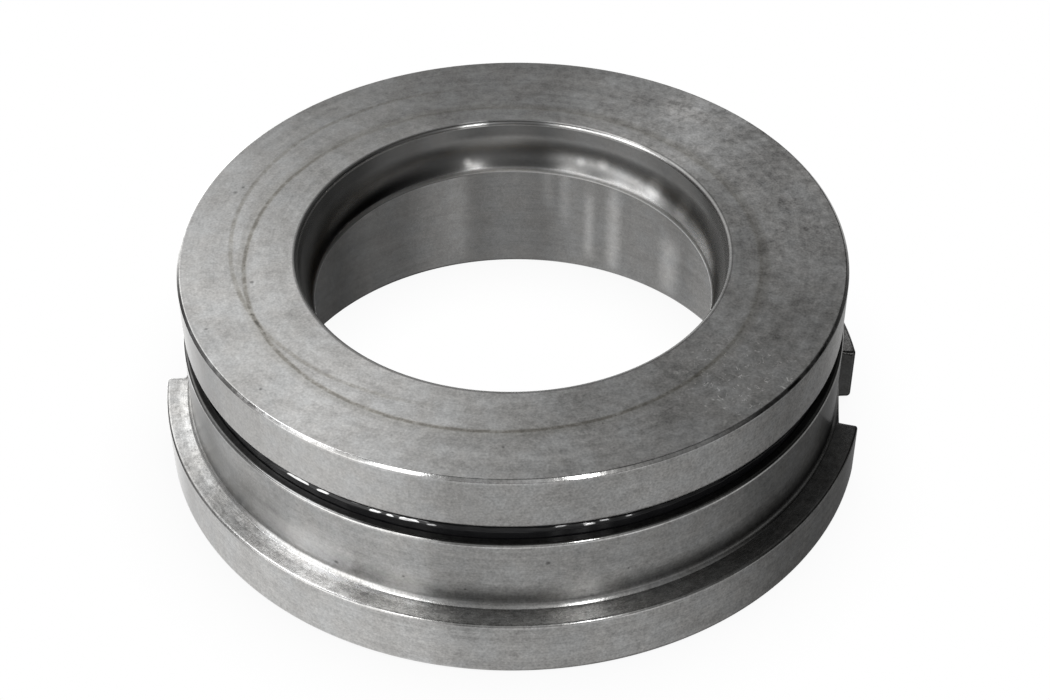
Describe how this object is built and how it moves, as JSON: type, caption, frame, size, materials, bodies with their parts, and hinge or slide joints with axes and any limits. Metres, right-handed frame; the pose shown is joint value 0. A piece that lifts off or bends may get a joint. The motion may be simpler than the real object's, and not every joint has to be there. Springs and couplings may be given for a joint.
{
  "type": "flanged thrust ball bearing",
  "caption": "Single-direction thrust ball bearing: a plain upper race turning on caged balls over a lower race with a slotted foot flange, sealed by a rubber ring.",
  "frame": {"origin": "centre of the bottom seating face, on the axis of rotation", "axes": "+Z along the axis of rotation, from the flange up to the rotating ring; X through the middle of the two key slots"},
  "size_m": [0.107, 0.1084, 0.0335],
  "materials": {
    "upper_ring_steel": "ground and lapped, satin, with faint concentric tool marks and oil stains",
    "lower_ring_steel": "turned and ground outside, slightly rougher on the flange",
    "ball_steel": "polished bearing steel",
    "cage_brass": "machined",
    "seal_rubber": "smooth, slightly glossy, oiled"
  },
  "bodies": {
    "fixed_ring": {"lower_flanged_ring": "lower_ring_steel", "outer_dust_seal": "seal_rubber"},
    "rotating_ring": {"upper_race_ring": "upper_ring_steel"},
    "cage": {"ball_cage": "cage_brass"},
    "ball_01": {"ball_01": "ball_steel"},
    "ball_02": {"ball_02": "ball_steel"},
    "ball_03": {"ball_03": "ball_steel"},
    "ball_04": {"ball_04": "ball_steel"},
    "ball_05": {"ball_05": "ball_steel"},
    "ball_06": {"ball_06": "ball_steel"},
    "ball_07": {"ball_07": "ball_steel"},
    "ball_08": {"ball_08": "ball_steel"},
    "ball_09": {"ball_09": "ball_steel"},
    "ball_10": {"ball_10": "ball_steel"},
    "ball_11": {"ball_11": "ball_steel"},
    "ball_12": {"ball_12": "ball_steel"},
    "ball_13": {"ball_13": "ball_steel"},
    "ball_14": {"ball_14": "ball_steel"},
    "ball_15": {"ball_15": "ball_steel"},
    "ball_16": {"ball_16": "ball_steel"},
    "ball_17": {"ball_17": "ball_steel"},
    "ball_18": {"ball_18": "ball_steel"},
    "ball_19": {"ball_19": "ball_steel"},
    "ball_20": {"ball_20": "ball_steel"},
    "ball_21": {"ball_21": "ball_steel"},
    "ball_22": {"ball_22": "ball_steel"},
    "ball_23": {"ball_23": "ball_steel"},
    "ball_24": {"ball_24": "ball_steel"}
  },
  "joints": [
    {"name": "upper_ring_spin", "type": "hinge", "parent": "fixed_ring", "child": "rotating_ring", "pos_m": [0, 0, 0.02913], "axis": [0, 0, 1], "continuous": true},
    {"name": "cage_orbit", "type": "hinge", "parent": "fixed_ring", "child": "cage", "pos_m": [0, 0, 0.02318], "axis": [0, 0, 1], "continuous": true},
    {"name": "ball_01_roll", "type": "hinge", "parent": "cage", "child": "ball_01", "pos_m": [0.0431, 0, 0.02318], "axis": [1, 0, 0], "continuous": true},
    {"name": "ball_02_roll", "type": "hinge", "parent": "cage", "child": "ball_02", "pos_m": [0.04163, 0.01116, 0.02318], "axis": [0.9659, 0.2588, 0], "continuous": true},
    {"name": "ball_03_roll", "type": "hinge", "parent": "cage", "child": "ball_03", "pos_m": [0.03733, 0.02155, 0.02318], "axis": [0.866, 0.5, 0], "continuous": true},
    {"name": "ball_04_roll", "type": "hinge", "parent": "cage", "child": "ball_04", "pos_m": [0.03048, 0.03048, 0.02318], "axis": [0.7071, 0.7071, 0], "continuous": true},
    {"name": "ball_05_roll", "type": "hinge", "parent": "cage", "child": "ball_05", "pos_m": [0.02155, 0.03733, 0.02318], "axis": [0.5, 0.866, 0], "continuous": true},
    {"name": "ball_06_roll", "type": "hinge", "parent": "cage", "child": "ball_06", "pos_m": [0.01116, 0.04163, 0.02318], "axis": [0.2588, 0.9659, 0], "continuous": true},
    {"name": "ball_07_roll", "type": "hinge", "parent": "cage", "child": "ball_07", "pos_m": [0, 0.0431, 0.02318], "axis": [0, 1, 0], "continuous": true},
    {"name": "ball_08_roll", "type": "hinge", "parent": "cage", "child": "ball_08", "pos_m": [-0.01116, 0.04163, 0.02318], "axis": [-0.2588, 0.9659, 0], "continuous": true},
    {"name": "ball_09_roll", "type": "hinge", "parent": "cage", "child": "ball_09", "pos_m": [-0.02155, 0.03733, 0.02318], "axis": [-0.5, 0.866, 0], "continuous": true},
    {"name": "ball_10_roll", "type": "hinge", "parent": "cage", "child": "ball_10", "pos_m": [-0.03048, 0.03048, 0.02318], "axis": [-0.7071, 0.7071, 0], "continuous": true},
    {"name": "ball_11_roll", "type": "hinge", "parent": "cage", "child": "ball_11", "pos_m": [-0.03733, 0.02155, 0.02318], "axis": [-0.866, 0.5, 0], "continuous": true},
    {"name": "ball_12_roll", "type": "hinge", "parent": "cage", "child": "ball_12", "pos_m": [-0.04163, 0.01116, 0.02318], "axis": [-0.9659, 0.2588, 0], "continuous": true},
    {"name": "ball_13_roll", "type": "hinge", "parent": "cage", "child": "ball_13", "pos_m": [-0.0431, 0, 0.02318], "axis": [-1, 0, 0], "continuous": true},
    {"name": "ball_14_roll", "type": "hinge", "parent": "cage", "child": "ball_14", "pos_m": [-0.04163, -0.01116, 0.02318], "axis": [-0.9659, -0.2588, 0], "continuous": true},
    {"name": "ball_15_roll", "type": "hinge", "parent": "cage", "child": "ball_15", "pos_m": [-0.03733, -0.02155, 0.02318], "axis": [-0.866, -0.5, 0], "continuous": true},
    {"name": "ball_16_roll", "type": "hinge", "parent": "cage", "child": "ball_16", "pos_m": [-0.03048, -0.03048, 0.02318], "axis": [-0.7071, -0.7071, 0], "continuous": true},
    {"name": "ball_17_roll", "type": "hinge", "parent": "cage", "child": "ball_17", "pos_m": [-0.02155, -0.03733, 0.02318], "axis": [-0.5, -0.866, 0], "continuous": true},
    {"name": "ball_18_roll", "type": "hinge", "parent": "cage", "child": "ball_18", "pos_m": [-0.01116, -0.04163, 0.02318], "axis": [-0.2588, -0.9659, 0], "continuous": true},
    {"name": "ball_19_roll", "type": "hinge", "parent": "cage", "child": "ball_19", "pos_m": [0, -0.0431, 0.02318], "axis": [0, -1, 0], "continuous": true},
    {"name": "ball_20_roll", "type": "hinge", "parent": "cage", "child": "ball_20", "pos_m": [0.01116, -0.04163, 0.02318], "axis": [0.2588, -0.9659, 0], "continuous": true},
    {"name": "ball_21_roll", "type": "hinge", "parent": "cage", "child": "ball_21", "pos_m": [0.02155, -0.03733, 0.02318], "axis": [0.5, -0.866, 0], "continuous": true},
    {"name": "ball_22_roll", "type": "hinge", "parent": "cage", "child": "ball_22", "pos_m": [0.03048, -0.03048, 0.02318], "axis": [0.7071, -0.7071, 0], "continuous": true},
    {"name": "ball_23_roll", "type": "hinge", "parent": "cage", "child": "ball_23", "pos_m": [0.03733, -0.02155, 0.02318], "axis": [0.866, -0.5, 0], "continuous": true},
    {"name": "ball_24_roll", "type": "hinge", "parent": "cage", "child": "ball_24", "pos_m": [0.04163, -0.01116, 0.02318], "axis": [0.9659, -0.2588, 0], "continuous": true}
  ],
  "couplings": [
    {"joint": "cage_orbit", "follows": "upper_ring_spin", "ratio": 0.5},
    {"joint": "ball_01_roll", "follows": "upper_ring_spin", "ratio": -5.4296},
    {"joint": "ball_02_roll", "follows": "upper_ring_spin", "ratio": -5.4296},
    {"joint": "ball_03_roll", "follows": "upper_ring_spin", "ratio": -5.4296},
    {"joint": "ball_04_roll", "follows": "upper_ring_spin", "ratio": -5.4296},
    {"joint": "ball_05_roll", "follows": "upper_ring_spin", "ratio": -5.4296},
    {"joint": "ball_06_roll", "follows": "upper_ring_spin", "ratio": -5.4296},
    {"joint": "ball_07_roll", "follows": "upper_ring_spin", "ratio": -5.4296},
    {"joint": "ball_08_roll", "follows": "upper_ring_spin", "ratio": -5.4296},
    {"joint": "ball_09_roll", "follows": "upper_ring_spin", "ratio": -5.4296},
    {"joint": "ball_10_roll", "follows": "upper_ring_spin", "ratio": -5.4296},
    {"joint": "ball_11_roll", "follows": "upper_ring_spin", "ratio": -5.4296},
    {"joint": "ball_12_roll", "follows": "upper_ring_spin", "ratio": -5.4296},
    {"joint": "ball_13_roll", "follows": "upper_ring_spin", "ratio": -5.4296},
    {"joint": "ball_14_roll", "follows": "upper_ring_spin", "ratio": -5.4296},
    {"joint": "ball_15_roll", "follows": "upper_ring_spin", "ratio": -5.4296},
    {"joint": "ball_16_roll", "follows": "upper_ring_spin", "ratio": -5.4296},
    {"joint": "ball_17_roll", "follows": "upper_ring_spin", "ratio": -5.4296},
    {"joint": "ball_18_roll", "follows": "upper_ring_spin", "ratio": -5.4296},
    {"joint": "ball_19_roll", "follows": "upper_ring_spin", "ratio": -5.4296},
    {"joint": "ball_20_roll", "follows": "upper_ring_spin", "ratio": -5.4296},
    {"joint": "ball_21_roll", "follows": "upper_ring_spin", "ratio": -5.4296},
    {"joint": "ball_22_roll", "follows": "upper_ring_spin", "ratio": -5.4296},
    {"joint": "ball_23_roll", "follows": "upper_ring_spin", "ratio": -5.4296},
    {"joint": "ball_24_roll", "follows": "upper_ring_spin", "ratio": -5.4296}
  ]
}
